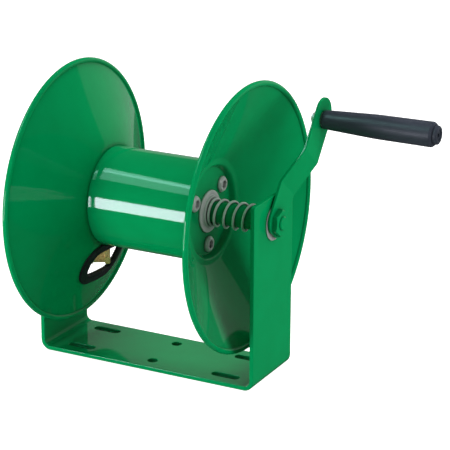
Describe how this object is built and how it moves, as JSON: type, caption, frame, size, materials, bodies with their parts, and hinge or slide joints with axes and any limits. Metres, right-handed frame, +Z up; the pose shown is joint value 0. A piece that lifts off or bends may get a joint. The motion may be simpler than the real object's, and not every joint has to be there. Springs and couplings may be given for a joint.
{
  "type": "hose reel",
  "caption": "Base-mounted hand-crank metal hose reel: U-bracket, flared discs on a drum, drag spring, crank with spinning grip, water swivel.",
  "frame": {"origin": "centre of the underside of the bracket's base plate", "axes": "+X along the spool's axis towards the crank, +Y to the back, +Z up"},
  "size_m": [0.4764, 0.3048, 0.337],
  "materials": {
    "green_paint": "glossy green powder coat",
    "zinc_steel": "bright zinc plate",
    "black_oxide": "black oxide",
    "brass": "machined brass",
    "black_rubber": "matte black rubber",
    "grip_plastic": "satin charcoal moulded plastic",
    "nylon": "natural nylon"
  },
  "bodies": {
    "frame": {"frame_bracket": "green_paint", "left_bush": "nylon", "right_bush": "nylon"},
    "spool": {"drum_tube": "green_paint", "left_disc": "green_paint", "right_disc": "green_paint", "hose_hole_trim": "black_rubber", "left_hub_plate": "green_paint", "right_hub_plate": "green_paint", "tie_bolts": "zinc_steel", "tie_washers": "zinc_steel", "tie_nuts": "zinc_steel", "right_shaft": "green_paint", "spring_seat": "zinc_steel", "drag_spring": "zinc_steel", "thrust_washer": "zinc_steel", "crank_washer": "zinc_steel", "crank_arm": "green_paint", "crank_nut": "green_paint", "grip_bolt": "zinc_steel", "grip_washer": "zinc_steel", "grip_nut": "zinc_steel", "left_spindle": "zinc_steel", "left_collar": "zinc_steel", "collar_screw": "black_oxide", "manifold_block": "brass", "riser_pipe": "brass", "outlet_elbow": "brass", "outlet_coupling": "brass", "swivel_seals": "black_rubber", "swivel_clip": "zinc_steel"},
    "grip_body": {"grip": "grip_plastic", "grip_end_cap": "grip_plastic"},
    "swivel": {"inlet_elbow": "brass", "inlet_plug": "brass"}
  },
  "joints": [
    {"name": "spool_spin", "type": "hinge", "parent": "frame", "child": "spool", "pos_m": [0, 0, 0.1846], "axis": [1, 0, 0], "continuous": true},
    {"name": "grip_spin", "type": "hinge", "parent": "spool", "child": "grip_body", "pos_m": [0.23, 0.07819, 0.28468], "axis": [1, 0, 0], "continuous": true},
    {"name": "inlet_swivel", "type": "hinge", "parent": "frame", "child": "swivel", "pos_m": [-0.1595, 0, 0.1846], "axis": [1, 0, 0], "continuous": true}
  ]
}
